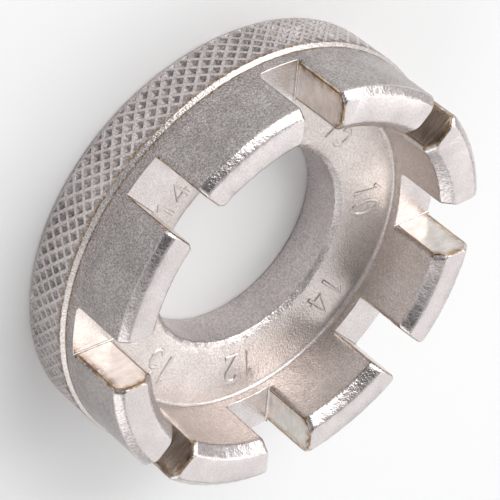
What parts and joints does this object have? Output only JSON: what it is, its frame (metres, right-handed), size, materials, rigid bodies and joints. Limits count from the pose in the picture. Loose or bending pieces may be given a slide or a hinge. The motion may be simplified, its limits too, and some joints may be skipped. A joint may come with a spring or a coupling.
{
  "type": "spoke wrench",
  "caption": "Round spoke wrench: a knurled finger ring whose castellated face has parallel slots that grip and turn spoke nipples.",
  "frame": {"origin": "centre of the flat back face, on the axis of the bore", "axes": "+Z along the ring's axis from the back face towards the toothed face; +X through the middle of the widest slot"},
  "size_m": [0.035, 0.035, 0.0105],
  "materials": {
    "knurled_band": "nickel plate over a diamond knurl",
    "castellated_crown": "satin nickel plate over a fine blasted casting skin, milled slots",
    "gauge_collar": "satin nickel plate over a cast face with raised numerals"
  },
  "bodies": {
    "root": {"knurled_band": "knurled_band", "castellated_crown": "castellated_crown", "gauge_collar": "gauge_collar"}
  },
  "joints": []
}
